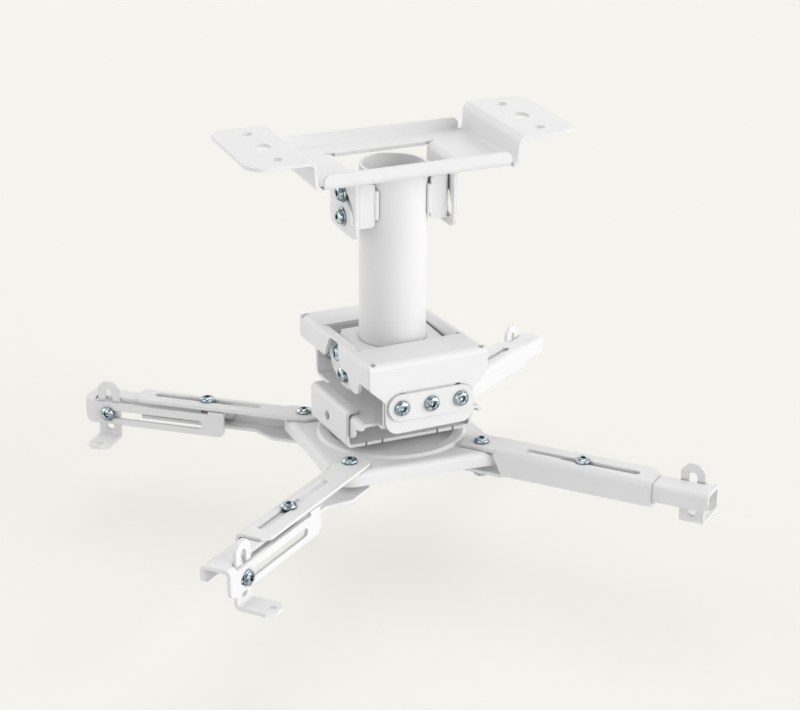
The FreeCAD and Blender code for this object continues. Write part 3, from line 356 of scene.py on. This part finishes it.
def fasteners(name, stands_for, body, axis, start, offsets, both_ends=False):
    """Detailed screws, washers or nuts for a CAD node: one at each offset from the start, on one or
    both ends of the axis. How far the node reaches along the axis gives their seat and length."""
    low, high = span(stands_for, axis, start, both_ends)
    tall = (high - low) * 1000
    if "screw" in stands_for:
        seat, (points, faces) = high - head_high / 1000, button_screw(tall - head_high)
    elif "washer" in stands_for:
        seat, (points, faces) = low, plain_washer(tall)
    else:
        seat, (points, faces) = high, hexagon_nut(tall)
    copies = [(points @ upright(end * axis).T + start + offset + end * seat * axis, faces)
              for end in ((-1, 1) if both_ends else (1,)) for offset in offsets]
    piece = mesh_piece(name, *joined(copies), zinc, body)
    piece.data.set_sharp_from_angle(angle=sharp_angle)
    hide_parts(stands_for)


tilt_lock = 0.0177
tube_up = np.array([0.0, 0.0, 1.0])
screws, nuts, washers = ("screws", "button_screws"), ("nuts", "hexagon_nuts"), ("washers", "plain_washers")
for kind, looks in (screws, washers, nuts):
    fasteners("tilt_" + looks, "tilt_" + kind, "tube", axis_of("plate_tilt"), place_of("plate_tilt"),
              [0 * tube_up, tilt_lock * tube_up], both_ends=True)


# Foot bracket and head frame: a folded channel welded under the tube, inside a sheet folded down on
# all four sides. The frame's two inner lugs are held to the channel by the pitch screws, two each side.
# Its long front and back tongues carry the roll bracket.

finish_with(powder_coat, "tube_foot_bracket", "head_frame")

pitch_lock, pitch_turn = 0.016, math.radians(33.0)
pitch_axis = axis_of("head_pitch")
tube_back = np.cross(tube_up, pitch_axis)
locking = pitch_lock * (math.sin(pitch_turn) * tube_back + math.cos(pitch_turn) * tube_up)
for kind, looks in (screws, washers, nuts):
    fasteners("pitch_" + looks, "pitch_" + kind, "tube", pitch_axis, place_of("head_pitch"),
              [0 * tube_up, locking], both_ends=True)


# Roll bracket: one sheet folded into a tray, with walls that hang from the head frame's tongues.
# Three screws pass through each wall and tongue, the outer two in curved slots, so that it can roll.
# A bare obround plate of the same coated sheet lies under each row of heads.

finish_with(powder_coat, "roll_bracket", "roll_plate_front", "roll_plate_back")

roll_spacing = 0.0235
frame_up, frame_back = axis_of("hub_swivel"), axis_of("head_roll")
frame_right = np.cross(frame_back, frame_up)
for kind, looks in (screws, nuts):
    fasteners("roll_" + looks, "roll_" + kind, "roll", frame_back, place_of("head_roll"),
              [x * frame_right for x in (-roll_spacing, 0, roll_spacing)], both_ends=True)


# Rail channel: its lips hook over the edges of the roll bracket's tray, and it slides on them.
# The hub turns under it on one 10 mm bolt with a low head, a thick washer and a nut, all zinc-plated.

finish_with(powder_coat, "rail_channel")
finish_with(zinc, "swivel_bolt", "swivel_washer", "swivel_nut")


# Hub: a pressed square plate with a round ridge and a folded skirt, in the same white coat.
# A long screw at each corner passes through both flanges of an arm and the hub between them.

finish_with(powder_coat, "hub_plate")

arm_names = ("left", "front", "right", "back")
arm_roots = {arm: place_of("arm_swing_" + arm) for arm in arm_names}
hub_middle = sum(arm_roots.values()) / len(arm_names)
for kind, looks in (screws, nuts):
    fasteners("hub_" + looks, "hub_" + kind, "hub", frame_up, hub_middle,
              [root - hub_middle for root in arm_roots.values()])


# Arms: each outer channel has a long slot in its top, where one screw locks the inner channel in it.
# Each inner channel ends in a slotted foot on one cross screw. All are folded from 2.5 mm sheet.

def centred(name, direction, start):
    """From the start to the middle of a CAD node along a direction."""
    return direction * sum(span(name, direction, start)) / 2


for arm in arm_names:
    finish_with(powder_coat, "outer_arm_" + arm, "inner_arm_" + arm, "foot_" + arm)
    out, root = axis_of("arm_extend_" + arm), arm_roots[arm]
    across = np.cross(frame_up, out)
    lock = centred("arm_lock_screw_" + arm, out, root)
    foot = centred("foot_screw_" + arm, out, root) + centred("foot_screw_" + arm, frame_up, root)
    fasteners("lock_screw_" + arm, "arm_lock_screw_" + arm, "slide_" + arm, frame_up, root, [lock])
    fasteners("lock_nut_" + arm, "arm_lock_nut_" + arm, "slide_" + arm, frame_up, root, [lock])
    fasteners("toe_screw_" + arm, "foot_screw_" + arm, "toe_" + arm, across, root, [foot])
    fasteners("toe_nut_" + arm, "foot_nut_" + arm, "toe_" + arm, across, root, [foot])


# Floor: a level sheet of pale card. The mount hangs a little above it, so that its feet and arms clear
# it however they are turned. The camera sees it as an even off-white, with part of its shadows.

def viewed(tree):
    """One for what the camera sees, straight, in a mirror or through glass, and nought for the light."""
    ray = node(tree, "ShaderNodeLightPath")
    straight = node(tree, "ShaderNodeMath", {"operation": "MAXIMUM"},
                    _0=ray.outputs["Is Camera Ray"], _1=ray.outputs["Is Glossy Ray"])
    return node(tree, "ShaderNodeMath", {"operation": "MAXIMUM"},
                _0=straight.outputs[0], _1=ray.outputs["Is Transmission Ray"]).outputs[0]


def card_material(seen, shadow_share):
    """Matt card for the light. To the camera and to mirrors, all but a share of it is an even tone."""
    made, tree = blank_material("pale_card")
    share = node(tree, "ShaderNodeMath", {"operation": "MULTIPLY"}, _0=viewed(tree), _1=1 - shadow_share)
    even = node(tree, "ShaderNodeEmission", Color=colour(seen), Strength=1.0)
    lit = node(tree, "ShaderNodeBsdfDiffuse", Color=colour("#F4F4F4"))
    both = node(tree, "ShaderNodeMixShader", _0=share.outputs[0], _1=lit.outputs[0], _2=even.outputs[0])
    node(tree, "ShaderNodeOutputMaterial", Surface=both.outputs["Shader"])
    return made


floor_half, floor_gap = 6.0, 0.060
floor_level = float(cad_box[0][2]) - floor_gap
floor_corners = [(x * floor_half, y * floor_half, floor_level)
                 for x, y in ((-1, -1), (1, -1), (1, 1), (-1, 1))]
floor_data = bpy.data.meshes.new("card_floor")
floor_data.from_pydata(floor_corners, [], [(0, 1, 2, 3)])
floor_data.materials.append(card_material("#F5F3E9", 0.50))
floor = bpy.data.objects.new("card_floor", floor_data)
bpy.context.scene.collection.objects.link(floor)


# Light: soft lamps round the mount, far enough off to light all of it alike. The key is low at the
# right front, with weaker ones behind, at the left and overhead. The backdrop is pale, and turns dark
# towards the ceiling, as in a studio, so that metal has something to show.

def far_light(name, azimuth, elevation, strength, spread=60.0):
    """A lamp at no distance, seen as a disk of the given spread. Azimuth runs from the front to the
    right and elevation up from the floor, all in degrees."""
    lamp = bpy.data.lights.new(name, "SUN")
    lamp.angle = math.radians(spread)
    lamp.energy = strength
    holder = bpy.data.objects.new(name, lamp)
    bpy.context.scene.collection.objects.link(holder)
    around, up = math.radians(azimuth), math.radians(elevation)
    towards = (math.sin(around) * math.cos(up), -math.cos(around) * math.cos(up), math.sin(up))
    holder.matrix_world = Matrix(upright(towards).tolist()).to_4x4()


far_light("key_light", 45.0, 15.0, 2.55)
far_light("front_light", 0.0, 15.0, 0.33)
far_light("left_light", -70.0, 15.0, 0.62)
far_light("back_left_light", -135.0, 24.0, 1.15)
far_light("back_right_light", 135.0, 45.0, 0.58)
far_light("overhead_left_light", -90.0, 75.0, 0.66)
far_light("overhead_right_light", 90.0, 75.0, 0.62)

room_light = 0.02
pale_up_to, dark_from = 0.35, 0.75   # sines of the height above the horizon
world = bpy.data.worlds.new("pale_room")
world.use_nodes = True
world.node_tree.nodes.clear()
air = world.node_tree
way = node(air, "ShaderNodeSeparateXYZ", Vector=node(air, "ShaderNodeTexCoord").outputs["Generated"])
height = node(air, "ShaderNodeMapRange", Value=way.outputs["Z"],
              From_Min=pale_up_to, From_Max=dark_from, To_Min=0.0, To_Max=1.0)
backdrop = node(air, "ShaderNodeMix", {"data_type": "RGBA"}, _0=height.outputs["Result"],
                _6=colour("#F3F3EE"), _7=colour("#4E5358"))
room = node(air, "ShaderNodeBackground", Color=colour("#FFFFFF"), Strength=room_light)
seen = node(air, "ShaderNodeBackground", Color=backdrop.outputs[2], Strength=1.0)
mixed = node(air, "ShaderNodeMixShader", _0=viewed(air), _1=room.outputs[0], _2=seen.outputs[0])
node(air, "ShaderNodeOutputWorld", Surface=mixed.outputs["Shader"])
bpy.context.scene.world = world


# Camera: the photograph's view, from the left front and a little above. It is aimed at the middle of the
# drop tube, which the photograph shows at aim_px, counted from its upper left corner.

azimuth, elevation, lean = math.radians(-23.83), math.radians(23.89), math.radians(0.55)
picture, tube_middle = np.array([800.0, 710.0]), np.array([0.0, 0.0, -0.1])
focal_px, aim_px, aim_depth = 1941.18, np.array([392.85, 261.43]), 1.42436
right = np.array([math.cos(azimuth), math.sin(azimuth), 0.0])
behind = np.array([math.sin(azimuth) * math.cos(elevation), -math.cos(azimuth) * math.cos(elevation),
                   math.sin(elevation)])
above = np.cross(right, -behind)
right, above = (right * math.cos(lean) + above * math.sin(lean),
                above * math.cos(lean) - right * math.sin(lean))
offset = (aim_px - picture / 2) / focal_px * aim_depth
camera_seat = tube_middle + behind * aim_depth - right * offset[0] + above * offset[1]

lens = bpy.data.cameras.new("photo_camera")
lens.sensor_fit = "HORIZONTAL"
lens.sensor_width = 36.0
lens.lens = focal_px * lens.sensor_width / picture[0]
lens.clip_end = 50.0
camera = bpy.data.objects.new("photo_camera", lens)
bpy.context.scene.collection.objects.link(camera)
camera_turn = Matrix(np.column_stack([right, above, behind]).tolist()).to_4x4()
camera.matrix_world = Matrix.Translation(camera_seat) @ camera_turn
bpy.context.scene.camera = camera
bpy.context.scene.view_settings.view_transform = "Standard"
